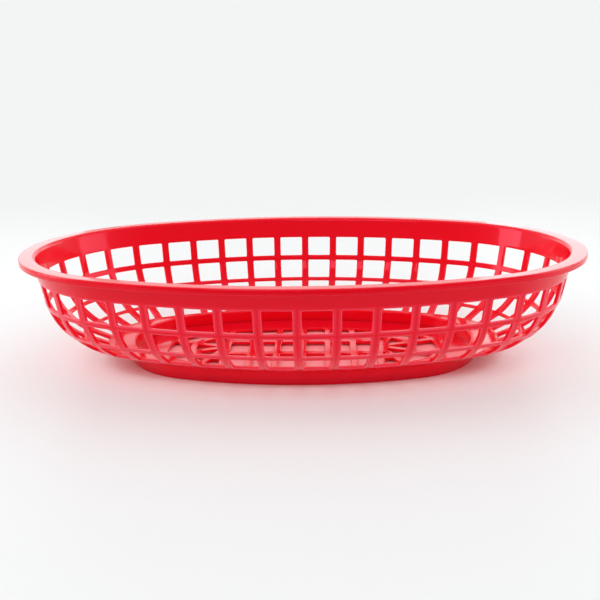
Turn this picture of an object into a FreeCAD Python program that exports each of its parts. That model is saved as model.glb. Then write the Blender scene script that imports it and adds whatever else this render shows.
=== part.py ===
"""Oval basket for serving food, moulded in one piece.

A flat flange with a turned-down lip runs round the top. A solid band hangs from it, and below the
band the wall is open: rows of windows between upright ribs and level hoops. The wall curves in to
a narrower foot ring, and a slotted floor closes the ring just above its standing face.

Millimetres, +Z up. The origin is the middle of the face that the foot ring stands on, +X runs
along the length and +Y across the width. One quarter is modelled, then mirrored twice.
"""
import FreeCAD, Part
import math
import os

# Overall sizes
LENGTH = 235.0
WIDTH = 155.0
HEIGHT = 46.8
SIDE_RADIUS = 191.6

# Rim flange and the lip that turns down at its outer edge
RIM_THICKNESS = 1.6
RIM_BEVEL = 0.7
LIP_HEIGHT = 2.5
LIP_THICKNESS = 1.4
LIP_BEVEL = 0.4

# Wall. Its outer face starts this far inside the rim, at the level of the rim's top. It goes
# down straight, turns in along a bend and ends in a shallow toe
WALL_INSET_SIDE = 4.6
WALL_INSET_END = 5.2
WALL_THICKNESS = 1.5
WALL_DRAFT = 10.8
BEND_RADIUS = 29.0
BEND_FLATS = 4
TOE_SLOPE = 22.0
TOE_RUN = 8.9
MOUTH_BEVEL = 0.9

# Windows in the wall, below a solid band. The ribs between them are equally spaced at one depth,
# which spreads them out toward the ends of the band's edge
BAND_DEPTH = 9.5
WINDOW_ROWS = 4
WINDOW_COLUMNS = 40
RIB_WIDTH = 3.3
EQUAL_DEPTH = 29.0
HOOP_WIDTH = 2.4
TOE_MARGIN = 1.6
WINDOW_SKEW = 30.0

# Foot ring, and the ledge between it and the wall's toe
LEDGE_SIDE = 0.3
LEDGE_END = 9.2
LEDGE_THICKNESS = 1.7
FOOT_HEIGHT = 5.5
FOOT_THICKNESS = 1.8
FOOT_BEVEL = 0.5

# Floor with its slots: straight ones in the middle, a fan of them at each end
FLOOR_RISE = 0.6
FLOOR_THICKNESS = 1.4
FLOOR_BORDER = 13.8
SLOT_PITCH = 11.0
SLOT_BAR = 2.9
CROSS_BAR = 3.6
CROSS_BAR_OFFSET = 8.5
FAN_LENGTH = 25.0
FAN_RING_RADIUS = 13.5
FAN_BAR_ANGLES = (22.5, 67.5)

# Overlap of joined pieces, and how far a cutting tool passes through what it cuts
OVERLAP = 0.4
CLEARANCE = 2.0

UP = FreeCAD.Vector(0, 0, 1)
QUARTER = math.pi / 2


class Oval:
    """Oval of four tangent arcs; only its quarter in +X +Y is used."""

    def __init__(self, half_length, half_width, side_radius):
        self.half_length = half_length
        self.half_width = half_width
        self.side_radius = side_radius
        self.side_centre = half_width - side_radius
        rise = 2 * side_radius * half_width - half_length ** 2 - half_width ** 2
        self.end_radius = rise / (2 * (side_radius - half_length))
        self.end_centre = half_length - self.end_radius
        # Where the arcs meet, seen from either centre
        self.joint = math.atan2(-self.side_centre, self.end_centre)

    def inset(self, side, end=None):
        """The oval inside this one; its side arcs have the same centres."""
        end = side if end is None else end
        return Oval(self.half_length - end, self.half_width - side, self.side_radius - side)

    def arcs(self):
        """Centre, radius, first and last angle of the end arc and of the side arc."""
        end = (FreeCAD.Vector(self.end_centre, 0, 0), self.end_radius, 0, self.joint)
        side = (FreeCAD.Vector(0, self.side_centre, 0), self.side_radius, self.joint, QUARTER)
        return end, side

    def radius_at(self, angle):
        return self.end_radius if angle < self.joint else self.side_radius

    def angle_at(self, distance):
        """Direction of the normal at a distance along the oval from the middle of its side."""
        side_length = self.side_radius * (QUARTER - self.joint)
        if distance <= side_length:
            return QUARTER - distance / self.side_radius
        return self.joint - (distance - side_length) / self.end_radius

    def length(self):
        """Length of the whole oval."""
        return 4 * (self.side_radius * (QUARTER - self.joint) + self.end_radius * self.joint)


DRAFT = math.radians(WALL_DRAFT)
SLOPE = math.radians(TOE_SLOPE)
BEND_LENGTH = BEND_RADIUS * (QUARTER - SLOPE - DRAFT)
# Distances down the outer face, from the level of the rim's top
BEND_TOP_Z = FOOT_HEIGHT + TOE_RUN * math.sin(SLOPE) + BEND_RADIUS * (math.cos(SLOPE) - math.sin(DRAFT))
BEND_START = (HEIGHT - BEND_TOP_Z) / math.cos(DRAFT)
BEND_END = BEND_START + BEND_LENGTH
TOE_END = BEND_END + TOE_RUN


def wall_tilt(along):
    """Lean of the outer face, as its angle from upright."""
    return DRAFT + min(max(along - BEND_START, 0), BEND_LENGTH) / BEND_RADIUS


def wall_point(along, inward):
    """Point of the wall's section as (outward, z).

    It lies the given distance along the outer face, down from the level of the rim's top, and
    then inward at right angles to that face. Outward 0 is the wall's oval.
    """
    tilt = wall_tilt(along)
    past = min(along - BEND_START, 0) + max(along - BEND_END, 0)
    radius = BEND_RADIUS - inward
    centre_out = -BEND_START * math.sin(DRAFT) - BEND_RADIUS * math.cos(DRAFT)
    centre_z = BEND_TOP_Z + BEND_RADIUS * math.sin(DRAFT)
    out = centre_out + radius * math.cos(tilt) - past * math.sin(tilt)
    z = centre_z - radius * math.sin(tilt) - past * math.cos(tilt)
    return out, z


def wall_face(inward, first):
    """Points down one face of the wall; the bend is a row of narrow flats."""
    bend = [BEND_START + BEND_LENGTH * index / BEND_FLATS for index in range(BEND_FLATS + 1)]
    return [wall_point(along, inward) for along in [first] + bend + [TOE_END]]


RIM = Oval(LENGTH / 2, WIDTH / 2, SIDE_RADIUS)
WALL = RIM.inset(WALL_INSET_SIDE, WALL_INSET_END)
TOE = WALL.inset(-wall_point(TOE_END, 0)[0])
FOOT = TOE.inset(LEDGE_SIDE, LEDGE_END)


def sweep(points, oval, first=0, last=QUARTER):
    """Solid ring: a section carried round the oval from one normal direction to another."""
    corners = [FreeCAD.Vector(out, 0, z) for out, z in points]
    face = Part.Face(Part.makePolygon(corners + corners[:1]))
    pieces = []
    for centre, radius, arc_first, arc_last in oval.arcs():
        start = max(first, arc_first)
        stop = min(last, arc_last)
        if start < stop:
            placed = face.translated(FreeCAD.Vector(radius, 0, 0))
            placed.rotate(FreeCAD.Vector(0, 0, 0), UP, math.degrees(start))
            placed.translate(centre)
            pieces.append(placed.revolve(centre, UP, math.degrees(stop - start)))
    return pieces[0].fuse(pieces[1:])


def rim_ring():
    """Outer part of the flange, with the lip."""
    width = WALL_INSET_SIDE - OVERLAP
    points = [
        (-width, HEIGHT),
        (-RIM_BEVEL, HEIGHT),
        (0, HEIGHT - RIM_BEVEL),
        (0, HEIGHT - LIP_HEIGHT + LIP_BEVEL),
        (-LIP_BEVEL, HEIGHT - LIP_HEIGHT),
        (-LIP_THICKNESS, HEIGHT - LIP_HEIGHT),
        (-LIP_THICKNESS, HEIGHT - RIM_THICKNESS),
        (-width, HEIGHT - RIM_THICKNESS),
    ]
    return sweep(points, RIM)


def wall_ring():
    """Unpierced wall, from the inner part of the flange to the toe."""
    reach = WALL_INSET_END - WALL_INSET_SIDE + 2 * OVERLAP
    outer = wall_face(0, RIM_THICKNESS / math.cos(DRAFT))
    inner = wall_face(WALL_THICKNESS, MOUTH_BEVEL / math.cos(DRAFT))
    mouth = wall_point(0, WALL_THICKNESS)[0]
    points = outer + inner[::-1] + [
        (mouth + MOUTH_BEVEL, HEIGHT),
        (reach, HEIGHT),
        (reach, HEIGHT - RIM_THICKNESS),
    ]
    return sweep(points, WALL)


def window_section(high, low):
    """Corners of a tool that cuts through the wall between two distances along it.

    It cuts level where the wall is steep, and never further off square than WINDOW_SKEW.
    """
    rise = max(0, wall_tilt((high + low) / 2) - math.radians(WINDOW_SKEW))
    depths = (-CLEARANCE, WALL_THICKNESS + CLEARANCE)
    corners = []
    for along, depth in ((high, depths[0]), (low, depths[0]), (low, depths[1]), (high, depths[1])):
        out, z = wall_point(along, 0)
        corners.append((out - depth * math.cos(rise), z + depth * math.sin(rise)))
    return corners


def windows():
    """Cutting tools for the windows of the quarter, row by row."""
    top = BAND_DEPTH / math.cos(DRAFT)
    row_pitch = (TOE_END - TOE_MARGIN + HOOP_WIDTH - top) / WINDOW_ROWS
    equal = WALL.inset(-wall_point(EQUAL_DEPTH, 0)[0])
    column_pitch = equal.length() / WINDOW_COLUMNS
    tools = []
    for row in range(WINDOW_ROWS):
        high = top + row * row_pitch
        low = high + row_pitch - HOOP_WIDTH
        points = window_section(high, low)
        row_oval = WALL.inset(-wall_point((high + low) / 2, WALL_THICKNESS / 2)[0])
        for column in range(WINDOW_COLUMNS // 4 + 1):
            near = equal.angle_at(column * column_pitch)
            far = equal.angle_at((column + 1) * column_pitch)
            last = near - RIB_WIDTH / 2 / row_oval.radius_at(near)
            first = max(0, far + RIB_WIDTH / 2 / row_oval.radius_at(far))
            if first < last:
                tools.append(sweep(points, WALL, first, last))
    return tools


def quarter_plate(oval, low, high):
    """Flat plate with an oval edge, from one level to another."""
    edges = []
    corners = [FreeCAD.Vector(0, 0, low)]
    for centre, radius, first, last in oval.arcs():
        arc = []
        for angle in (first, (first + last) / 2, last):
            arc.append(centre + FreeCAD.Vector(
                radius * math.cos(angle), radius * math.sin(angle), low))
        edges.append(Part.Arc(*arc).toShape())
        corners += [arc[0], arc[2]]
    edges.insert(0, Part.makeLine(corners[0], corners[1]))
    edges.append(Part.makeLine(corners[-1], corners[0]))
    return Part.Face(Part.Wire(edges)).extrude(FreeCAD.Vector(0, 0, high - low))


def foot():
    """Foot ring, and the ledge that reaches from it to the toe of the wall."""
    inner = FOOT.inset(FOOT_THICKNESS)
    top = FOOT_HEIGHT + LEDGE_THICKNESS
    points = [
        (0, top),
        (0, FOOT_BEVEL),
        (-FOOT_BEVEL, 0),
        (-FOOT_THICKNESS, 0),
        (-FOOT_THICKNESS, top),
    ]
    ring = sweep(points, FOOT)
    ledge = quarter_plate(TOE, FOOT_HEIGHT, top)
    return ring.fuse(ledge.cut(quarter_plate(inner, 0, HEIGHT)))


def floor_bar(start, degrees, width=SLOT_BAR):
    """Upright bar that runs from a point of the X axis, long enough to cross the floor."""
    reach = 2 * CLEARANCE
    size = (LENGTH, width, FLOOR_THICKNESS + 2 * reach)
    bar = Part.makeBox(*size, FreeCAD.Vector(0, -width / 2, FLOOR_RISE - reach))
    bar.rotate(FreeCAD.Vector(0, 0, 0), UP, degrees)
    bar.translate(start)
    return bar


def fan_ring(centre):
    """Curved bar across the fan of slots."""
    reach = 2 * CLEARANCE
    base = centre + FreeCAD.Vector(0, 0, FLOOR_RISE - reach)
    height = FLOOR_THICKNESS + 2 * reach
    outer = Part.makeCylinder(FAN_RING_RADIUS + SLOT_BAR, height, base, UP, 90)
    return outer.cut(Part.makeCylinder(FAN_RING_RADIUS, height, base, UP, 90))


def floor():
    """Floor plate with its slots."""
    top = FLOOR_RISE + FLOOR_THICKNESS
    plate = quarter_plate(FOOT.inset(FOOT_THICKNESS / 2), FLOOR_RISE, top)
    slot_edge = FOOT.inset(FOOT_THICKNESS + FLOOR_BORDER)
    slots = quarter_plate(slot_edge, FLOOR_RISE - CLEARANCE, top + CLEARANCE)
    columns = int((slot_edge.half_length - FAN_LENGTH) / SLOT_PITCH)
    fan_centre = FreeCAD.Vector(columns * SLOT_PITCH, 0, 0)
    bars = [floor_bar(FreeCAD.Vector(column * SLOT_PITCH, 0, 0), 90)
            for column in range(columns + 1)]
    bars += [floor_bar(fan_centre, degrees) for degrees in FAN_BAR_ANGLES]
    bars.append(floor_bar(FreeCAD.Vector(fan_centre.x, CROSS_BAR_OFFSET, 0), 180, CROSS_BAR))
    bars.append(fan_ring(fan_centre))
    return plate.cut(slots.cut(bars))


def basket():
    quarter = wall_ring().fuse(rim_ring()).cut(windows())
    quarter = quarter.fuse([foot(), floor()])
    half = quarter.fuse(quarter.mirror(FreeCAD.Vector(0, 0, 0), FreeCAD.Vector(1, 0, 0)))
    whole = half.fuse(half.mirror(FreeCAD.Vector(0, 0, 0), FreeCAD.Vector(0, 1, 0)))
    return whole.removeSplitter()


os.makedirs("parts", exist_ok=True)
shape = basket()
print("solids", len(shape.Solids), "volume", round(shape.Volume / 1000, 1), "cm3")
shape.exportStep("parts/basket.step")
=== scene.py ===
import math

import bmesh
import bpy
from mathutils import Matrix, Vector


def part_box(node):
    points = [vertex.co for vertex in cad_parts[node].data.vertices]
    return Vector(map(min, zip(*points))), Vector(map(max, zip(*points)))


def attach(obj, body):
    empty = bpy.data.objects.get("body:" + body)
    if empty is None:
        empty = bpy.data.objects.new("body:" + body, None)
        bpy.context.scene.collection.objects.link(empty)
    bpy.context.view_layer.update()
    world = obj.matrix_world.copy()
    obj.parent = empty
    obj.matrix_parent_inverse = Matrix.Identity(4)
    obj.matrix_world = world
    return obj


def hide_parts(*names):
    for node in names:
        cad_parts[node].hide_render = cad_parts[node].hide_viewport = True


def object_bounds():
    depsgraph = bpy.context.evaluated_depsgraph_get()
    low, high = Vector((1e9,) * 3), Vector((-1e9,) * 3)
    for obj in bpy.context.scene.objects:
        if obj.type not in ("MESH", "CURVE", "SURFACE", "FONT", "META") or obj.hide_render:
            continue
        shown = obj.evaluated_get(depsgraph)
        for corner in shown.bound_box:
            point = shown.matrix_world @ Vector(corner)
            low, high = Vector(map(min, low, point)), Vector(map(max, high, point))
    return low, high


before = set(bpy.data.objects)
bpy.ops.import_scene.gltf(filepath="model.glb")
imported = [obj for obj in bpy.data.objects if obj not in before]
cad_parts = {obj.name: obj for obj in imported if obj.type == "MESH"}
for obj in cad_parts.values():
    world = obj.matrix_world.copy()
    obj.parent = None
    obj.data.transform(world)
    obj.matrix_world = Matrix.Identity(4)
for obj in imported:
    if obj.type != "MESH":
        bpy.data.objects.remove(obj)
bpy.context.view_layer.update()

# %% [markdown]
# # A moulded oval basket
#
# The basket in the photo is one piece of glossy plastic. A flat flange runs round the top, a solid
# band hangs from it, and under the band the wall is an open lattice that curves in to a small
# foot. A lattice like this could be cut out of a bowl with booleans, but then the window edges stay
# sharp and the shading breaks up. This lesson builds it as one mesh of quads between closed loops
# of points, because loops give every window the small round edge that catches the light.
#
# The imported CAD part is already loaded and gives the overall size, so it is measured first.

MM = 0.001

low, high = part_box("basket")
length, width, height = high - low
print("CAD part: %.1f x %.1f x %.1f mm" % (length / MM, width / MM, height / MM))

# %% [markdown]
# ## The plan shape
#
# Seen from above, the rim is an oval made of four arcs: two tight ones at the ends and two flat
# ones along the sides. A scaled circle would be easier to write, but a wall of equal thickness
# can't be made from scaled circles. The four-arc oval keeps its arc centres when it is drawn
# further in, so a point on any edge of the basket is found from just two numbers: the direction
# that the wall faces there, and how far out or in it lies.

# %% The four-arc oval
QUARTER = math.pi / 2


class Oval:
    def __init__(self, half_length, half_width, side_radius):
        self.half_length = half_length
        self.half_width = half_width
        self.side_radius = side_radius
        rise = 2 * side_radius * half_width - half_length ** 2 - half_width ** 2
        self.end_radius = rise / (2 * (side_radius - half_length))
        self.end_centre = half_length - self.end_radius
        self.side_centre = half_width - side_radius
        self.joint = math.atan2(-self.side_centre, self.end_centre)

    def inset(self, side, end=None):
        end = side if end is None else end
        return Oval(self.half_length - end, self.half_width - side, self.side_radius - side)

    def radius_at(self, angle):
        folded = math.atan2(abs(math.sin(angle)), abs(math.cos(angle)))
        return self.end_radius if folded < self.joint else self.side_radius

    def point(self, angle, out=0.0):
        """The point that faces this direction, moved outward by out."""
        c, s = math.cos(angle), math.sin(angle)
        folded = math.atan2(abs(s), abs(c))
        if folded < self.joint:
            x = self.end_centre + (self.end_radius + out) * abs(c)
            y = (self.end_radius + out) * abs(s)
        else:
            x = (self.side_radius + out) * abs(c)
            y = self.side_centre + (self.side_radius + out) * abs(s)
        return math.copysign(x, c), math.copysign(y, s)

    def quarter_length(self):
        return self.side_radius * (QUARTER - self.joint) + self.end_radius * self.joint

    def angle_at(self, distance):
        """Facing direction at a distance round the oval, clockwise from the middle of the +Y side."""
        quarter = self.quarter_length()
        turns, rest = divmod(distance, 2 * quarter)
        along = rest if rest <= quarter else 2 * quarter - rest
        side = self.side_radius * (QUARTER - self.joint)
        if along <= side:
            angle = QUARTER - along / self.side_radius
        else:
            angle = self.joint - (along - side) / self.end_radius
        return (angle if rest <= quarter else -angle) - turns * math.pi


SIDE_RADIUS = 191.6 * MM
RIM = Oval(length / 2, width / 2, SIDE_RADIUS)
print("rim end radius %.1f mm" % (RIM.end_radius / MM))

# %% [markdown]
# ## The section of the wall
#
# The wall is about 1.5 mm thick. It comes down from the flange with a little draft, so that the
# moulding leaves its mould, then bends inward and ends in a shallow toe on the foot ring. Such a
# section could be drawn as a curve and swept along the oval, but the windows need to know where any
# place on the wall lies. So the section is a function: it turns a distance down the outer face, and
# a depth into the plastic, into a point. Everything in the lattice is placed with it. The inside
# never goes lower than the top of the flat ledge that joins the wall to the foot.

# %% Wall section
WALL_THICKNESS = 1.5 * MM
WALL_INSET_SIDE = 4.6 * MM
WALL_INSET_END = 5.2 * MM
DRAFT = math.radians(10.8)
SLOPE = math.radians(22)
BEND_RADIUS = 29 * MM
TOE_RUN = 8.9 * MM
FOOT_HEIGHT = 5.5 * MM
LEDGE_THICKNESS = 1.7 * MM

BEND_TOP = FOOT_HEIGHT + TOE_RUN * math.sin(SLOPE) + BEND_RADIUS * (math.cos(SLOPE) - math.sin(DRAFT))
BEND_START = (height - BEND_TOP) / math.cos(DRAFT)
BEND_END = BEND_START + BEND_RADIUS * (QUARTER - SLOPE - DRAFT)
TOE_END = BEND_END + TOE_RUN
WALL = RIM.inset(WALL_INSET_SIDE, WALL_INSET_END)


def wall_tilt(along):
    """Lean of the outer face, as its angle from upright."""
    return DRAFT + min(max(along - BEND_START, 0), BEND_END - BEND_START) / BEND_RADIUS


def wall_point(along, inward):
    """(outward, z): along the outer face down from the rim's level, then into the plastic."""
    tilt = wall_tilt(along)
    past = min(along - BEND_START, 0) + max(along - BEND_END, 0)
    radius = BEND_RADIUS - inward
    centre_out = -BEND_START * math.sin(DRAFT) - BEND_RADIUS * math.cos(DRAFT)
    centre_z = BEND_TOP + BEND_RADIUS * math.sin(DRAFT)
    out = centre_out + radius * math.cos(tilt) - past * math.sin(tilt)
    return out, centre_z - radius * math.sin(tilt) - past * math.cos(tilt)


def on_wall(angle, along, inward):
    out, z = wall_point(along, inward)
    if inward > WALL_THICKNESS / 2:
        z = max(z, LEDGE_TOP)
    return (*WALL.point(angle, out), z)


LEDGE_TOP = FOOT_HEIGHT + LEDGE_THICKNESS
TOE = WALL.inset(-wall_point(TOE_END, 0)[0])
print("wall runs %.1f mm down its outer face" % (TOE_END / MM))

# %% [markdown]
# ## Strips of quads
#
# The moulding has no seams, so its surface must be one closed skin. Vertices could be counted and
# shared by hand, but that is hard to follow. Here every surface is a strip between two loops with
# the same number of points. Loops that meet share the same places, and at the end one merge joins
# all the strips into a single skin.

# %% A mesh made of strips
vertices = []
faces = []


def strip(first, second, closed=True):
    """Quads between two loops of equal length."""
    start, count = len(vertices), len(first)
    vertices.extend(first)
    vertices.extend(second)
    for i in range(count if closed else count - 1):
        j = (i + 1) % count
        faces.append((start + i, start + j, start + count + j, start + count + i))


def strips(loops):
    for first, second in zip(loops, loops[1:]):
        strip(first, second)


# %% [markdown]
# ## The lattice
#
# Forty ribs stand round the basket, and three hoops part the wall into four rows of windows. The
# ribs are equally spaced half way down. Higher up they fan out, and most at the round ends, where
# the windows get wider. Ribs and hoops could be modelled as separate bars, but a moulding has no
# joints where they cross, so the wall is laid out in cells. One cell reaches from the middle of one
# rib to the middle of the next, and from hoop to hoop, with a window in it.
#
# A mould that opens straight up and down can't make windows that are cut square through a leaning
# wall. Their upper and lower faces lie level where the wall is steep, and further down they follow
# it with a lag of thirty degrees.

# %% Places of ribs and rows
COLUMNS = 40
ROWS = 4
BAND_DEPTH = 9.5 * MM
RIB_WIDTH = 3.3 * MM
HOOP_WIDTH = 2.4 * MM
TOE_MARGIN = 1.6 * MM
EQUAL_DEPTH = 29 * MM
MOST_SKEW = math.radians(30)
CORNER = 0.5 * MM
EDGE_ROUND = 0.5 * MM
SIDE_STEPS = 8
CORNER_STEPS = 2
EDGE_STEPS = 3

equal = WALL.inset(-wall_point(EQUAL_DEPTH, 0)[0])
pitch = 4 * equal.quarter_length() / COLUMNS
ribs = [equal.angle_at(i * pitch) for i in range(COLUMNS)] + [equal.angle_at(0) - 2 * math.pi]
row_top = BAND_DEPTH / math.cos(DRAFT)
row_pitch = (TOE_END - TOE_MARGIN + HOOP_WIDTH - row_top) / ROWS
levels = [row_top + i * row_pitch - HOOP_WIDTH / 2 for i in range(ROWS + 1)]
print("ribs every %.2f mm, windows %.2f mm high" % (pitch / MM, (row_pitch - HOOP_WIDTH) / MM))


def mix(a, b, t):
    return a + (b - a) * t


def slipped(along, inward, middle=None):
    """The distance down the wall at this depth in a face that starts at along on the outside."""
    rise = max(0, wall_tilt(along if middle is None else middle) - MOST_SKEW)
    return along + inward * math.tan(wall_tilt(along) - rise)


def ring_angles():
    """Directions of the points of every loop that goes round the basket."""
    return [mix(ribs[c], ribs[c + 1], i / SIDE_STEPS) for c in range(COLUMNS) for i in range(SIDE_STEPS)]


# %% [markdown]
# ## One cell
#
# A cell's outer outline is a plain four-sided patch, and its inner outline is the window with small
# round corners. Both have the same number of points, so strips of quads fill what lies between
# them, and that is the plastic that is seen. A bevel modifier could round the corners afterwards,
# but it gives no control where ribs are only a few millimetres wide.
#
# The left and right ends of the window's top edge belong to different ribs, so each is measured
# from its own rib. That keeps the ribs equally wide all the way down, although the oval gets
# smaller.

# %% Outlines of one cell
def patch_outline(column, row, inward):
    """The four-sided patch of one cell, clockwise from its upper left corner."""
    left, right = ribs[column], ribs[column + 1]
    upper, lower = slipped(levels[row], inward), slipped(levels[row + 1], inward)
    steps = [i / SIDE_STEPS for i in range(SIDE_STEPS)]
    outline = [(mix(left, right, t), upper) for t in steps]
    outline += [(right, mix(upper, lower, t)) for t in steps]
    outline += [(mix(right, left, t), lower) for t in steps]
    outline += [(left, mix(lower, upper, t)) for t in steps]
    return [on_wall(angle, along, inward) for angle, along in outline]


def window_outline(column, row, grow, inward):
    """The window of one cell with round corners, made larger by grow."""
    upper = row_top + row * row_pitch
    lower = upper + row_pitch - HOOP_WIDTH
    middle = (upper + lower) / 2
    upper = slipped(upper, inward, middle) - grow
    lower = slipped(lower, inward, middle) + grow
    corner = CORNER + grow
    half = RIB_WIDTH / 2 - grow

    def edge(side, along, gap):
        """Direction of a place at this gap from the rib on one side, -1 left or 1 right."""
        rib = ribs[column] if side < 0 else ribs[column + 1]
        radius = WALL.radius_at(rib) + wall_point(along, inward)[0]
        return rib + side * (half + gap) / radius

    def corner_points(side, level, turn, upright_first):
        """Points of one corner; turn 1 goes down from the level into the window, and -1 up."""
        points = []
        for i in range(2 * CORNER_STEPS + 1):
            a = QUARTER * i / (2 * CORNER_STEPS)
            a = a if upright_first else QUARTER - a
            along = level + turn * corner * (1 - math.sin(a))
            points.append((edge(side, along, corner * (1 - math.cos(a))), along))
        return points

    # Each corner runs from its level edge (a = 90 degrees) to its upright edge (a = 0), or back
    top_right = corner_points(1, upper, 1, False)
    bottom_right = corner_points(1, lower, -1, True)
    bottom_left = corner_points(-1, lower, -1, False)
    top_left = corner_points(-1, upper, 1, True)
    loop = []
    for here, there in ((top_left, top_right), (top_right, bottom_right),
                        (bottom_right, bottom_left), (bottom_left, top_left)):
        loop += here[CORNER_STEPS:]
        straight = SIDE_STEPS - 2 * CORNER_STEPS
        for i in range(1, straight):
            t = i / straight
            loop.append((mix(here[-1][0], there[0][0], t), mix(here[-1][1], there[0][1], t)))
        loop += there[:CORNER_STEPS]
    return [on_wall(angle, along, inward) for angle, along in loop]


# %% [markdown]
# ## All the cells
#
# Real window edges are never sharp: the mould leaves a small round on them, and the round catches part of
# the bright line along every rib; the rest of that line is a painted highlight in the finish. The steps
# through the plastic therefore begin and end in a quarter round, while a straight step would leave a hard
# edge. The last cell closes the ring, so its right rib is the first one a whole turn on.

# %% Build the cells
def edge_profile():
    """(grow, inward) from the outer skin through the plastic to the inner skin."""
    outer = []
    for i in range(EDGE_STEPS + 1):
        a = QUARTER * i / EDGE_STEPS
        outer.append((EDGE_ROUND * (1 - math.sin(a)), EDGE_ROUND * (1 - math.cos(a))))
    inner = [(grow, WALL_THICKNESS - inward) for grow, inward in reversed(outer)]
    return outer + inner


for column in range(COLUMNS):
    for row in range(ROWS):
        loops = [patch_outline(column, row, 0)]
        loops += [window_outline(column, row, grow, inward) for grow, inward in edge_profile()]
        loops.append(patch_outline(column, row, WALL_THICKNESS))
        strips(loops)
print("lattice:", COLUMNS * ROWS, "windows,", len(faces), "quads")

# %% [markdown]
# ## The rim
#
# The band above the windows is solid. At its top the plastic turns outward into a flat flange, and
# the flange ends in a short lip that points down. The lip stiffens the edge and is what fingers
# hold. A profile swept along a curve could make it, but it would not meet the lattice point for
# point, and here it must. So the section is drawn as corner points, each corner is rounded with a
# short curve between the two points beside it, and every point becomes a loop.

# %% Rounded sections carried round the oval
def rounded(before, corner, after, steps=4):
    """Points of a smooth turn from before to after that leans on the corner."""
    points = []
    for i in range(steps + 1):
        t = i / steps
        a, b, c = (1 - t) ** 2, 2 * t * (1 - t), t ** 2
        points.append((a * before[0] + b * corner[0] + c * after[0],
                       a * before[1] + b * corner[1] + c * after[1]))
    return points


angles = ring_angles()


def ring_loop(oval, out, z):
    return [(*oval.point(angle, out), z) for angle in angles]


def ring_loops(oval, points):
    return [ring_loop(oval, out, z) for out, z in points]


print("points on a loop:", len(angles))

# %% [markdown]
# The rim's oval and the wall's oval aren't quite parallel, because the flange is a little wider at
# the ends. Each point of the section therefore says which of the two it is measured from.

# %% Rim loops
RIM_THICKNESS = 1.6 * MM
LIP_HEIGHT = 2.5 * MM
LIP_THICKNESS = 1.4 * MM
TOP_ROUND = 0.8 * MM
LIP_ROUND = 0.45 * MM
MOUTH_ROUND = 1.5 * MM
UNDER_ROUND = 0.9 * MM

under = height - RIM_THICKNESS
lip = height - LIP_HEIGHT
root = wall_point(RIM_THICKNESS / math.cos(DRAFT), 0)
outer_turn = rounded(wall_point((RIM_THICKNESS + UNDER_ROUND) / math.cos(DRAFT), 0),
                     root, (root[0] + UNDER_ROUND, under))
lip_inner = rounded((-LIP_THICKNESS - LIP_ROUND, under), (-LIP_THICKNESS, under),
                    (-LIP_THICKNESS, under - LIP_ROUND))
lip_foot = rounded((-LIP_THICKNESS, lip + LIP_ROUND), (-LIP_THICKNESS, lip), (-LIP_THICKNESS / 2, lip))
lip_foot += rounded((-LIP_THICKNESS / 2, lip), (0, lip), (0, lip + LIP_ROUND))[1:]
top_edge = rounded((0, height - TOP_ROUND), (0, height), (-TOP_ROUND, height))
mouth = wall_point(WALL_THICKNESS * math.tan(DRAFT), WALL_THICKNESS)
mouth_turn = rounded((mouth[0] + MOUTH_ROUND, height), mouth,
                     wall_point(WALL_THICKNESS * math.tan(DRAFT) + MOUTH_ROUND, WALL_THICKNESS))
band_foot = wall_point(slipped(levels[0], WALL_THICKNESS), WALL_THICKNESS)

rim_loops = ring_loops(WALL, [wall_point(levels[0], 0)] + outer_turn)
rim_loops += ring_loops(RIM, lip_inner + lip_foot + top_edge)
rim_loops += ring_loops(WALL, mouth_turn + [band_foot])
before = len(faces)
strips(rim_loops)
print("rim:", len(rim_loops), "loops,", len(faces) - before, "quads")

# %% [markdown]
# ## The foot
#
# Below the last row the wall ends on a low vertical ring that the basket stands on. Along the
# sides the ring starts right under the wall. At the ends it stands further in, and a flat ledge
# joins the two. The ring could be a separate tube pushed into the wall, but then a crease would show
# where they meet. The loops go on from the wall instead, down the outside, round the standing edge
# and up the inside.

# %% Foot ring and ledge
LEDGE_SIDE = 0.3 * MM
LEDGE_END = 9.2 * MM
FOOT_THICKNESS = 1.8 * MM
FOOT_ROUND = 0.5 * MM
SMALL_ROUND = 0.4 * MM
LEDGE_ROUND = 0.8 * MM

FOOT = TOE.inset(LEDGE_SIDE, LEDGE_END)
toe_in = wall_point(slipped(levels[-1], WALL_THICKNESS), WALL_THICKNESS)[0]
foot_outer = rounded((SMALL_ROUND, FOOT_HEIGHT), (0, FOOT_HEIGHT), (0, FOOT_HEIGHT - SMALL_ROUND), 2)
foot_outer += rounded((0, FOOT_ROUND), (0, 0), (-FOOT_ROUND, 0), 3)
foot_inner = rounded((-FOOT_THICKNESS + FOOT_ROUND, 0), (-FOOT_THICKNESS, 0),
                     (-FOOT_THICKNESS, FOOT_ROUND), 3)
foot_inner += rounded((-FOOT_THICKNESS, LEDGE_TOP - LEDGE_ROUND), (-FOOT_THICKNESS, LEDGE_TOP),
                      (-FOOT_THICKNESS + LEDGE_ROUND, LEDGE_TOP), 3)

foot_loops = ring_loops(WALL, [wall_point(levels[-1], 0), wall_point(TOE_END, 0)])
foot_loops += ring_loops(FOOT, foot_outer + foot_inner)
foot_loops += ring_loops(WALL, [(toe_in, LEDGE_TOP)])
before = len(faces)
strips(foot_loops)
print("foot: %.1f x %.1f mm," % (2 * FOOT.half_length / MM, 2 * FOOT.half_width / MM),
      len(faces) - before, "quads")

# %% [markdown]
# ## The floor
#
# The floor is a thin plate with slots, set a little above the table. Flat shapes with holes are
# easiest to draw as a filled two-dimensional curve: the first outline is the plate, the others
# become holes, and the curve's own bevel rounds every edge. The middle has straight slots in three
# rows. At each end a fan of slots follows the round of the oval.

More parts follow.
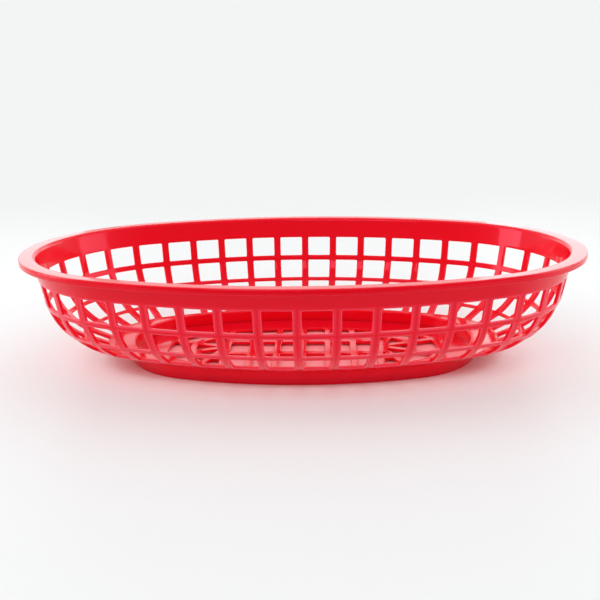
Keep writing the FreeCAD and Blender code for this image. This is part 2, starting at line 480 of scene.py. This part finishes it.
# %% Slot outlines
FLOOR_RISE = 0.6 * MM
FLOOR_THICKNESS = 1.4 * MM
FLOOR_BORDER = 13.8 * MM
SLOT_PITCH = 11 * MM
SLOT_BAR = 2.9 * MM
CROSS_BAR = 3.6 * MM
CROSS_BAR_OFFSET = 8.5 * MM
FAN_LENGTH = 25 * MM
FAN_RING = 13.5 * MM
FAN_BARS = (math.radians(22.5), math.radians(67.5))
SLOT_CORNER = 0.8 * MM
FLOOR_EDGE = 0.25 * MM
NEARLY_STRAIGHT = math.radians(150)

slot_edge = FOOT.inset(FOOT_THICKNESS + FLOOR_BORDER)
slot_columns = int((slot_edge.half_length - FAN_LENGTH) / SLOT_PITCH)
fan_x = slot_columns * SLOT_PITCH


def edge_y(oval, x):
    """Half-width of the oval at this x."""
    if x > oval.end_centre + oval.end_radius * math.cos(oval.joint):
        return math.sqrt(max(oval.end_radius ** 2 - (x - oval.end_centre) ** 2, 0))
    return oval.side_centre + math.sqrt(oval.side_radius ** 2 - x ** 2)


def round_corners(outline, radius):
    """The same outline with each clear corner replaced by a short curve."""
    result = []
    count = len(outline)
    for i, corner in enumerate(outline):
        corner = Vector(corner)
        back = Vector(outline[i - 1]) - corner
        ahead = Vector(outline[(i + 1) % count]) - corner
        if back.angle(ahead) > NEARLY_STRAIGHT:
            result.append(tuple(corner))
            continue
        reach = min(radius, back.length / 2, ahead.length / 2)
        start = corner + back.normalized() * reach
        stop = corner + ahead.normalized() * reach
        result += rounded(start, corner, stop, 3)
    return result


def straight_slots():
    """Slots of the middle field in the quarter +X +Y; those on the X axis are whole."""
    slots = []
    for i in range(slot_columns):
        x0 = i * SLOT_PITCH + SLOT_BAR / 2
        x1 = (i + 1) * SLOT_PITCH - SLOT_BAR / 2
        y1 = CROSS_BAR_OFFSET - CROSS_BAR / 2
        slots.append([(x0, -y1), (x1, -y1), (x1, y1), (x0, y1)])
        y2 = CROSS_BAR_OFFSET + CROSS_BAR / 2
        slots.append([(x0, y2), (x1, y2), (x1, edge_y(slot_edge, x1)), (x0, edge_y(slot_edge, x0))])
    return slots


print("straight slots in a quarter:", len(straight_slots()), "from", slot_columns, "columns")

# %% [markdown]
# The fan is drawn in polar form about the point where the straight slots stop. A slot reaches from
# one radial bar to the next, and either from the centre to the curved bar or from the curved bar
# to the edge of the slotted field. The distance to that edge is found by halving an interval,
# which needs no formula for where a ray meets the oval.

# %% Fan slots
HALVINGS = 40
ARC_STEPS = 6


def reach_to_edge(angle):
    """Distance from the fan's centre to the edge of the slotted field."""
    near, far = 0.0, slot_edge.half_length
    for _ in range(HALVINGS):
        middle = (near + far) / 2
        x = fan_x + middle * math.cos(angle)
        inside = x < slot_edge.half_length and middle * math.sin(angle) < edge_y(slot_edge, x)
        near, far = (middle, far) if inside else (near, middle)
    return near


def fan_slot(first, last, inner, outer):
    """One slot between two directions; inner None starts at the centre, outer None ends at the edge."""
    half = SLOT_BAR / 2

    def side(distance, angle, turn):
        return angle + turn * math.asin(min(half / distance, 1))

    def place(distance, angle):
        return (fan_x + distance * math.cos(angle), distance * math.sin(angle))

    def arc(distance, start, stop):
        a0 = side(distance, start, 1)
        a1 = side(distance, stop, -1)
        return [place(distance, mix(a0, a1, i / ARC_STEPS)) for i in range(ARC_STEPS + 1)]

    if outer is None:
        a0 = side(reach_to_edge(first), first, 1)
        a1 = side(reach_to_edge(last), last, -1)
        directions = [mix(a0, a1, i / ARC_STEPS) for i in range(ARC_STEPS + 1)]
        far = [place(reach_to_edge(angle), angle) for angle in directions]
    else:
        far = arc(outer, first, last)
    if inner is None:
        tip = half / math.sin((last - first) / 2)
        return [place(tip, (first + last) / 2)] + far
    return arc(inner, first, last)[::-1] + far


def fan_slots():
    lower, upper = FAN_BARS
    slots = []
    for first, last in ((-lower, lower), (lower, upper), (upper, QUARTER)):
        slots.append(fan_slot(first, last, None, FAN_RING))
        slots.append(fan_slot(first, last, FAN_RING + SLOT_BAR, None))
    return slots


print("fan slots in a quarter:", len(fan_slots()))

# %% [markdown]
# Only a quarter of the slots is drawn. The others are the same outlines mirrored, and a slot that
# crosses an axis is its own mirror image, so it must not be added twice.

# %% Floor plate
def mirrored(outline, flip_x, flip_y):
    return [(-x if flip_x else x, -y if flip_y else y) for x, y in outline]


def all_slots():
    result = []
    for outline in straight_slots() + fan_slots():
        crosses_x_axis = min(y for _, y in outline) < 0
        for flip_x in (False, True):
            for flip_y in ((False,) if crosses_x_axis else (False, True)):
                result.append(round_corners(mirrored(outline, flip_x, flip_y), SLOT_CORNER))
    return result


def add_outline(curve, points):
    spline = curve.splines.new("POLY")
    spline.points.add(len(points) - 1)
    for target, (x, y) in zip(spline.points, points):
        target.co = (x, y, 0, 1)
    spline.use_cyclic_u = True


plate_edge = FOOT.inset(FOOT_THICKNESS / 2)
slots = all_slots()
floor_curve = bpy.data.curves.new("floor_outline", "CURVE")
floor_curve.dimensions = "2D"
floor_curve.fill_mode = "BOTH"
floor_curve.extrude = FLOOR_THICKNESS / 2 - FLOOR_EDGE
floor_curve.bevel_depth = FLOOR_EDGE
floor_curve.bevel_resolution = 1
floor_curve.offset = -FLOOR_EDGE
add_outline(floor_curve, [plate_edge.point(angle) for angle in angles])
for outline in slots:
    add_outline(floor_curve, outline)
floor_object = bpy.data.objects.new("floor_outline", floor_curve)
floor_object.location.z = FLOOR_RISE + FLOOR_THICKNESS / 2
bpy.context.scene.collection.objects.link(floor_object)
bpy.context.view_layer.update()
finished_floor = floor_object.evaluated_get(bpy.context.evaluated_depsgraph_get())
floor_mesh = bpy.data.meshes.new_from_object(finished_floor)
floor_mesh.transform(floor_object.matrix_world)
bpy.data.objects.remove(floor_object)
print("floor:", len(slots), "slots,", len(floor_mesh.polygons), "faces")

# %% [markdown]
# ## One mesh
#
# The real basket is a single moulding, so all strips become one mesh, and points that lie in one
# place are merged. The parts could stay separate objects, but smooth shading works only across
# shared points, so a seam would show at every window. After the merge no edge may be open.
#
# The floor then joins the same mesh. It is a closed body whose edge lies inside the foot ring. Its
# bevels and its flat faces meet point for point without a merge, so that each keeps its own
# shading.

# %% Merge the strips
MERGE_DISTANCE = 0.005 * MM

skin = bpy.data.meshes.new("basket_skin")
skin.from_pydata(vertices, [], faces)
builder = bmesh.new()
builder.from_mesh(skin)
bmesh.ops.remove_doubles(builder, verts=builder.verts, dist=MERGE_DISTANCE)
bmesh.ops.recalc_face_normals(builder, faces=builder.faces)
open_edges = sum(1 for edge in builder.edges if len(edge.link_faces) != 2)
print("wall, rim and foot merged:", len(builder.verts), "points,", open_edges, "open edges")
builder.from_mesh(floor_mesh)
bpy.data.meshes.remove(floor_mesh)

# %% [markdown]
# The rounded window edges on the outside of this plastic look lighter than its faces, and the finish gives
# them that as a painted highlight. So that the finish can find them later, every point on the outside of
# the lattice remembers how sharply the skin turns there: nothing on a face, and the full amount on a round.
# The points could be picked by hand, but there are thousands, and the angle between the faces at a point
# says the same.

# %% Remember the turns
LEAST_TURN = math.radians(8)
FULL_TURN = math.radians(26)

turn = builder.verts.layers.float.new("turn")
for corner in builder.verts:
    faces_out = corner.co.xy.dot(corner.normal.xy) > 0
    if faces_out and LEDGE_TOP < corner.co.z < lip:
        sharpest = max(edge.calc_face_angle_signed(0) for edge in corner.link_edges)
        corner[turn] = min(max((sharpest - LEAST_TURN) / (FULL_TURN - LEAST_TURN), 0), 1)
print("points on rounds:", sum(1 for corner in builder.verts if corner[turn] > 0.5))

# %% [markdown]
# Plain smooth shading would let the narrow rounds bend the light on the wide faces beside them.
# Flat shading would show every quad. Weighted normals lie between: the wide faces stay flat, and
# the rounds carry the whole turn.

# %% The basket object
builder.to_mesh(skin)
builder.free()
basket = bpy.data.objects.new("basket_moulding", skin)
bpy.context.scene.collection.objects.link(basket)
skin.shade_smooth()
weighted = basket.modifiers.new("even_shading", "WEIGHTED_NORMAL")
weighted.keep_sharp = True
print("basket:", len(skin.vertices), "vertices,", len(skin.polygons), "faces")

# %% [markdown]
# ## Red plastic
#
# The plastic is a deep, saturated red with a hard gloss. Where it faces the camera, it shows almost
# no white at all, and where it is seen at a low angle, as on top of the flange, it turns pale pink.
# A clear layer that reflects white everywhere would make the whole basket pink, so the reflection
# is tinted: the tint colours what is seen straight on and leaves the low angles white. A thin
# moulding also lets some light in, so half of its colour is made by scattering under the skin.

# %% Gloss and depth of the plastic
def named_input(node, name, value):
    node.inputs[name].default_value = value


def link(tree, source, output, target, name):
    tree.links.new(source.outputs[output], target.inputs[name])


plastic = bpy.data.materials.new("red_plastic")
plastic.use_nodes = True
nodes = plastic.node_tree.nodes
shader = nodes["Principled BSDF"]
named_input(shader, "IOR", 1.52)
named_input(shader, "Specular Tint", (1, 0.3, 0.48, 1))
named_input(shader, "Subsurface Weight", 0.5)
named_input(shader, "Subsurface Radius", (1.0, 0.1, 0.08))
named_input(shader, "Subsurface Scale", 5 * MM)
print("material:", plastic.name)

# %% [markdown]
# Light that has entered the plastic comes out again at its edges, and the rounds catch the light, so they
# look lighter than the faces. That lighter line is a painted highlight: the colour is mixed toward a
# lighter red by the number that each point remembers. Two materials could show it, but then the change
# would be a hard line; the mix changes smoothly. Slow noise also moves the red of the faces a little,
# because no moulding is coloured quite evenly.

# %% Colour of faces and painted edge highlights
RED = (0.86, 0.004, 0.016, 1)
DEEP_RED = (0.80, 0.003, 0.013, 1)
# The lighter red below is the painted highlight on the rounded window edges.
EDGE_HIGHLIGHT_RED = (0.98, 0.075, 0.13, 1)

place = nodes.new("ShaderNodeTexCoord")
cloud = nodes.new("ShaderNodeTexNoise")
named_input(cloud, "Scale", 35)
named_input(cloud, "Detail", 2)
link(plastic.node_tree, place, "Object", cloud, "Vector")
colour = nodes.new("ShaderNodeMix")
colour.data_type = "RGBA"
colour.inputs[6].default_value = RED
colour.inputs[7].default_value = DEEP_RED
plastic.node_tree.links.new(cloud.outputs["Fac"], colour.inputs[0])
edge_highlight_mask = nodes.new("ShaderNodeAttribute")
edge_highlight_mask.attribute_name = "turn"
# This mix paints the highlight onto the rounds, by how sharply the skin turns there.
painted_edge_highlight = nodes.new("ShaderNodeMix")
painted_edge_highlight.data_type = "RGBA"
painted_edge_highlight.inputs[7].default_value = EDGE_HIGHLIGHT_RED
link(plastic.node_tree, edge_highlight_mask, "Fac", painted_edge_highlight, 0)
plastic.node_tree.links.new(colour.outputs[2], painted_edge_highlight.inputs[6])
plastic.node_tree.links.new(painted_edge_highlight.outputs[2], shader.inputs["Base Color"])

# %% [markdown]
# The gloss of a real moulding isn't perfectly even either. One fine noise serves for both sides of
# that: it changes the roughness slightly, and through a very weak bump it gives the ripple of
# moulded plastic. A picture of scratches could do it too, but noise stays sharp at any distance.

# %% Uneven gloss and ripple
grain = nodes.new("ShaderNodeTexNoise")
named_input(grain, "Scale", 260)
named_input(grain, "Detail", 3)
link(plastic.node_tree, place, "Object", grain, "Vector")
rough = nodes.new("ShaderNodeMapRange")
named_input(rough, "To Min", 0.06)
named_input(rough, "To Max", 0.13)
link(plastic.node_tree, grain, "Fac", rough, "Value")
link(plastic.node_tree, rough, "Result", shader, "Roughness")

ripple = nodes.new("ShaderNodeBump")
named_input(ripple, "Strength", 0.04)
named_input(ripple, "Distance", 0.2 * MM)
link(plastic.node_tree, grain, "Fac", ripple, "Height")
link(plastic.node_tree, ripple, "Normal", shader, "Normal")
skin.materials.append(plastic)
print("nodes in the finish:", len(nodes))

# %% [markdown]
# ## Joining the frame
#
# The mesh rides on the part's only body and stands in for its CAD node. It could also lie over the
# CAD faces, but two skins in one place show spots and lines. Its finish has the name of the
# material slot that the part's record gives.

# %% Tie the mesh to the part
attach(basket, "root")
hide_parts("basket")
new_low, new_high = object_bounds()
print("mesh: %.1f x %.1f x %.1f mm" % tuple((new_high - new_low)[i] / MM for i in range(3)))

# %% [markdown]
# ## Table
#
# The photo is a studio shot on a pale surface that runs into the background without an edge. A
# bent sheet of paper could be modelled for it, but from the other sides its bend would show. One
# large flat plane serves all views, and its nearly white material takes the basket's soft shadow.
# Two helpers keep the node work that follows short.

# %% Table plane
TABLE_SIZE = 6.0

table_mesh = bpy.data.meshes.new("table_top")
half = TABLE_SIZE / 2
table_mesh.from_pydata([(-half, -half, 0), (half, -half, 0), (half, half, 0), (-half, half, 0)],
                       [], [(0, 1, 2, 3)])
table = bpy.data.objects.new("table_top", table_mesh)
bpy.context.scene.collection.objects.link(table)
white = bpy.data.materials.new("white_table")
white.use_nodes = True
table_mesh.materials.append(white)
tree = white.node_tree
table_shader = tree.nodes["Principled BSDF"]
named_input(table_shader, "Roughness", 0.45)
named_input(table_shader, "IOR", 1.3)


def math_node(tree, operation, first, second):
    """Math node fed by two (node, output) pairs or plain numbers."""
    node = tree.nodes.new("ShaderNodeMath")
    node.operation = operation
    for i, source in enumerate((first, second)):
        if isinstance(source, tuple):
            link(tree, source[0], source[1], node, i)
        else:
            named_input(node, i, source)
    return node


def seen_directly(tree):
    """Node whose first output is 1 where a camera, glossy or transmission ray looks."""
    rays = tree.nodes.new("ShaderNodeLightPath")
    first = math_node(tree, "MAXIMUM", (rays, "Is Camera Ray"), (rays, "Is Glossy Ray"))
    return math_node(tree, "MAXIMUM", (first, 0), (rays, "Is Transmission Ray"))


print("table: %.0f m square" % TABLE_SIZE)

# %% [markdown]
# The red plastic colours the light that reaches the table: it is a dusky pink under the slotted floor and a
# pale pink close to the foot. The renderer sends too little light through thin walls for that, so this red
# light and the shade under the floor are painted into the table's own colour, which follows an oval round
# the foot, from pink to white. The places of the three colours are given in shares of the foot's own size.

# %% Painted red light and shade near the foot
TABLE_WHITE = (0.83, 0.845, 0.85, 1)
# The pale pink and the dusky pink below are painted red light and painted shade on the table.
PAINTED_RED_LIGHT_EDGE = (0.96, 0.85, 0.855, 1)
PAINTED_RED_SHADE_UNDER = (0.96, 0.27, 0.29, 1)
PINK_INSIDE = 0.9
PINK_OUTSIDE = 1.05
PINK_REACH = 1.7

spot = tree.nodes.new("ShaderNodeTexCoord")
to_oval = tree.nodes.new("ShaderNodeVectorMath")
to_oval.operation = "MULTIPLY"
named_input(to_oval, 1, (1 / FOOT.half_length, 1 / FOOT.half_width, 0))
link(tree, spot, "Object", to_oval, 0)
ovals = tree.nodes.new("ShaderNodeVectorMath")
ovals.operation = "LENGTH"
link(tree, to_oval, 0, ovals, 0)
share = math_node(tree, "DIVIDE", (ovals, "Value"), PINK_REACH)
painted_red_light = tree.nodes.new("ShaderNodeValToRGB")
painted_red_light.color_ramp.interpolation = "EASE"
painted_red_light.color_ramp.elements[0].position = PINK_INSIDE / PINK_REACH
painted_red_light.color_ramp.elements[0].color = PAINTED_RED_SHADE_UNDER
painted_red_light.color_ramp.elements[1].position = 1.0
painted_red_light.color_ramp.elements[1].color = TABLE_WHITE
edge_stop = painted_red_light.color_ramp.elements.new(PINK_OUTSIDE / PINK_REACH)
edge_stop.color = PAINTED_RED_LIGHT_EDGE
link(tree, share, 0, painted_red_light, "Fac")
link(tree, painted_red_light, "Color", table_shader, "Base Color")
print("pink ends %.0f mm from the middle of the foot's sides" % (PINK_REACH * FOOT.half_width / MM))

# %% [markdown]
# Far from the basket the table must fade into the background, or its horizon would show as a line.
# A larger plane would only move that line. So the camera and reflections see the table turn, with
# distance, into a plain glow of the background's colour, while the light that it throws back on
# the basket stays that of a real white surface.

# %% Fade into the background
PAPER = (0.895, 0.91, 0.91, 1)
FADE_START = 0.15
FADE_END = 0.6

away = tree.nodes.new("ShaderNodeVectorMath")
away.operation = "LENGTH"
link(tree, spot, "Object", away, 0)
fade = tree.nodes.new("ShaderNodeMapRange")
fade.interpolation_type = "SMOOTHSTEP"
named_input(fade, "From Min", FADE_START)
named_input(fade, "From Max", FADE_END)
link(tree, away, "Value", fade, "Value")
faded = math_node(tree, "MULTIPLY", (fade, "Result"), (seen_directly(tree), 0))
paper_glow = tree.nodes.new("ShaderNodeEmission")
named_input(paper_glow, "Color", PAPER)
named_input(paper_glow, "Strength", 1.0)
blend = tree.nodes.new("ShaderNodeMixShader")
link(tree, faded, 0, blend, 0)
tree.links.new(table_shader.outputs[0], blend.inputs[1])
tree.links.new(paper_glow.outputs[0], blend.inputs[2])
print("table fades between %.2f and %.2f m" % (FADE_START, FADE_END))

# %% [markdown]
# The outside of the lip is the darkest part of the near side, although it faces the camera. It
# must mirror something dim there, where the real table ends and the room begins. The plane could
# be cut off too, but then it would look broken from other sides. So it goes on, and turns dim in
# front of the basket for every ray except the camera's.

# %% Dim room in front
ROOM_START = -0.2
ROOM_FULL = -0.28
ROOM_DIM = (0.15, 0.15, 0.15, 1)

place_parts = tree.nodes.new("ShaderNodeSeparateXYZ")
link(tree, spot, "Object", place_parts, 0)
room = tree.nodes.new("ShaderNodeMapRange")
room.interpolation_type = "SMOOTHSTEP"
named_input(room, "From Min", ROOM_START)
named_input(room, "From Max", ROOM_FULL)
link(tree, place_parts, "Y", room, "Value")
table_rays = tree.nodes.new("ShaderNodeLightPath")
unseen = math_node(tree, "SUBTRACT", 1, (table_rays, "Is Camera Ray"))
dimmed = math_node(tree, "MULTIPLY", (room, "Result"), (unseen, 0))
room_glow = tree.nodes.new("ShaderNodeEmission")
named_input(room_glow, "Color", ROOM_DIM)
named_input(room_glow, "Strength", 1.0)
whole = tree.nodes.new("ShaderNodeMixShader")
link(tree, dimmed, 0, whole, 0)
tree.links.new(blend.outputs[0], whole.inputs[1])
tree.links.new(room_glow.outputs[0], whole.inputs[2])
tree.links.new(whole.outputs[0], tree.nodes["Material Output"].inputs["Surface"])
print("room is dim beyond %.2f m in front" % -ROOM_FULL)

# %% [markdown]
# ## Light from the room
#
# The room is lit from behind and above, and the side where the camera stands is darker. That dark
# side is what the plastic mirrors where it faces the camera, and it keeps the red deep. An even
# grey world would be simpler, but in it the gloss would hardly show. So the world's brightness
# follows the direction of each ray: it falls off from back to front, and more for reflections.

# %% Bright back, dim front
BACK_LIGHT = 0.95
FRONT_LIGHT = 0.6
FRONT_MIRRORED = 0.3
FRONT_SIDE = -0.8
BACK_SIDE = 0.1

world = bpy.data.worlds.new("studio")
bpy.context.scene.world = world
world.use_nodes = True
tree = world.node_tree
tree.nodes.clear()
direction = tree.nodes.new("ShaderNodeTexCoord")
parts = tree.nodes.new("ShaderNodeSeparateXYZ")
link(tree, direction, "Generated", parts, 0)
rays = tree.nodes.new("ShaderNodeLightPath")
dimming = math_node(tree, "MULTIPLY", (rays, "Is Glossy Ray"), FRONT_MIRRORED - FRONT_LIGHT)
front = math_node(tree, "ADD", (dimming, 0), FRONT_LIGHT)
level = tree.nodes.new("ShaderNodeMapRange")
level.interpolation_type = "SMOOTHSTEP"
named_input(level, "From Min", FRONT_SIDE)
named_input(level, "From Max", BACK_SIDE)
link(tree, front, 0, level, "To Min")
named_input(level, "To Max", BACK_LIGHT)
link(tree, parts, "Y", level, "Value")
glow = tree.nodes.new("ShaderNodeBackground")
named_input(glow, "Color", (1, 1, 1, 1))
link(tree, level, "Result", glow, "Strength")
print("world light", FRONT_LIGHT, "to", BACK_LIGHT)

# %% [markdown]
# Behind the basket the photo shows one even pale colour. A wall could stand there, but it would
# block the light from the back. So what the camera itself sees is the plain background colour, on
# all sides. Reflections that look toward the back see it too, and so does light that goes through
# something clear.

# %% Plain background
backdrop = tree.nodes.new("ShaderNodeBackground")
named_input(backdrop, "Color", PAPER)
named_input(backdrop, "Strength", 1.0)
seen = math_node(tree, "MAXIMUM", (rays, "Is Camera Ray"), (rays, "Is Transmission Ray"))
behind = math_node(tree, "GREATER_THAN", (parts, "Y"), BACK_SIDE)
mirrored = math_node(tree, "MULTIPLY", (rays, "Is Glossy Ray"), (behind, 0))
plain = math_node(tree, "MAXIMUM", (seen, 0), (mirrored, 0))
choose = tree.nodes.new("ShaderNodeMixShader")
link(tree, plain, 0, choose, 0)
tree.links.new(glow.outputs[0], choose.inputs[1])
tree.links.new(backdrop.outputs[0], choose.inputs[2])
target = tree.nodes.new("ShaderNodeOutputWorld")
link(tree, choose, 0, target, "Surface")
print("background colour: %.3f %.3f %.3f" % PAPER[:3])

# %% [markdown]
# ## Lights
#
# The shadows in the photo are soft and lie close under the basket. Small lamps would draw hard
# ones, so every lamp is a panel. One overhead and one above the camera light the whole. Three stand
# low at the back. At the low angle at which the camera sees the flange, the plastic mirrors them
# and the top of the flange turns pale, most of all at the ends, so the outer two are the brighter
# ones. Two more stand at the sides and give the pale patches that the inside of the band mirrors
# near both ends. All of them are hidden from the camera itself, so that no view shows a lit
# rectangle.

# %% Lights
def panel(name, place, aim, size, power):
    data = bpy.data.lights.new(name, "AREA")
    data.shape = "RECTANGLE"
    data.size, data.size_y = size
    data.energy = power
    lamp = bpy.data.objects.new(name, data)
    lamp.location = place
    lamp.visible_camera = False
    lamp.rotation_mode = "QUATERNION"
    lamp.rotation_quaternion = (Vector(aim) - Vector(place)).to_track_quat("-Z", "Y")
    bpy.context.scene.collection.objects.link(lamp)


panel("overhead", (0, 0.15, 1.1), (0, 0, 0), (1.2, 0.9), 0.6)
panel("back", (0, 1.5, 0.5), (0, 0, 0.05), (0.9, 0.5), 0.45)
panel("back_left", (-1.0, 1.35, 0.48), (0, 0, 0.05), (1.1, 0.5), 2.0)
panel("back_right", (0.85, 1.4, 0.48), (0, 0, 0.05), (1.1, 0.5), 2.2)
panel("right_side", (0.9, 0.08, 0.32), (0, 0, 0.03), (0.5, 0.5), 1.5)
panel("left_side", (-0.9, 0.0, 0.35), (0, 0, 0.03), (0.4, 0.5), 2)
panel("front", (-0.25, -1.0, 0.9), (0, 0, 0.02), (0.6, 0.4), 2.2)
print("lamps:", ", ".join(lamp.name for lamp in bpy.data.lights))

# %% [markdown]
# ## Camera
#
# The photo was taken from a little above the table and quite close, so the near side looks clearly
# larger than the far side. A camera set by eye gets the height about right, but not the distance.
# This one was found by matching the rim, the windows and the foot in the photo. The axes below are
# the camera's own right, up and back directions in the room.

# %% Camera
CAMERA_PLACE = (9.74 * MM, -357.42 * MM, 116.69 * MM)
FORWARD = Vector((-0.02891, 0.96680, -0.25388))
ROLL = -0.014843
LENS = 51.48
SENSOR = 36.0

level_right = FORWARD.cross(Vector((0, 0, 1))).normalized()
level_up = level_right.cross(FORWARD).normalized()
right = level_right * math.cos(ROLL) + level_up * math.sin(ROLL)
up = right.cross(FORWARD).normalized()
camera_data = bpy.data.cameras.new("camera")
camera_data.lens = LENS
camera_data.sensor_width = SENSOR
camera = bpy.data.objects.new("camera", camera_data)
camera.matrix_world = Matrix.Translation(CAMERA_PLACE) @ Matrix((right, up, -FORWARD)).transposed().to_4x4()
bpy.context.scene.collection.objects.link(camera)
bpy.context.scene.camera = camera
bpy.context.scene.view_settings.view_transform = "Standard"
print("camera looks down by %.1f degrees" % math.degrees(math.asin(-FORWARD.normalized().z)))
